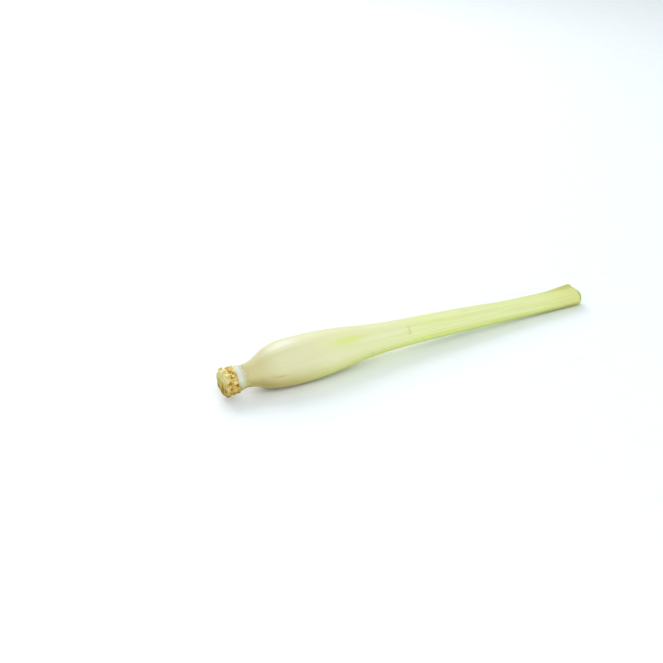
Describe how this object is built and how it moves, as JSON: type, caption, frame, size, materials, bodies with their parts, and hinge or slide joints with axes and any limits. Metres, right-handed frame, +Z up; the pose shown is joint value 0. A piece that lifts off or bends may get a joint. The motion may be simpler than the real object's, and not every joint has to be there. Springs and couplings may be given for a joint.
{
  "type": "lemongrass stalk",
  "caption": "Trimmed lemongrass stalk lying down: pale bulb, long thin shaft of rolled leaf sheaths and a knobby cut rootstock.",
  "frame": {"origin": "on the small flat spot under the bulb that the stalk rests on, 47 mm along from the cut face of the rootstock", "axes": "+X along the stalk from the rootstock to the cut leaf end, +Z up, away from the surface it lies on"},
  "size_m": [0.2413, 0.0256, 0.0249],
  "materials": {
    "rootstock": "rough straw-coloured rootstock with pale cut face and brown root scars",
    "collar": "satin greenish white torn sheath base",
    "outer_sheath": "satin cream on the bulb, pale yellow-green up the shaft, fine lengthwise veins",
    "middle_sheath": "satin pale green with fine lengthwise veins",
    "inner_sheath": "satin light green with fine lengthwise veins",
    "heart": "satin fresh green rolled leaf"
  },
  "bodies": {
    "root": {"root_crown": "rootstock", "sheath_stub": "collar", "sheath_outer": "outer_sheath", "sheath_middle": "middle_sheath", "sheath_inner": "inner_sheath", "heart_roll": "heart"}
  },
  "joints": []
}
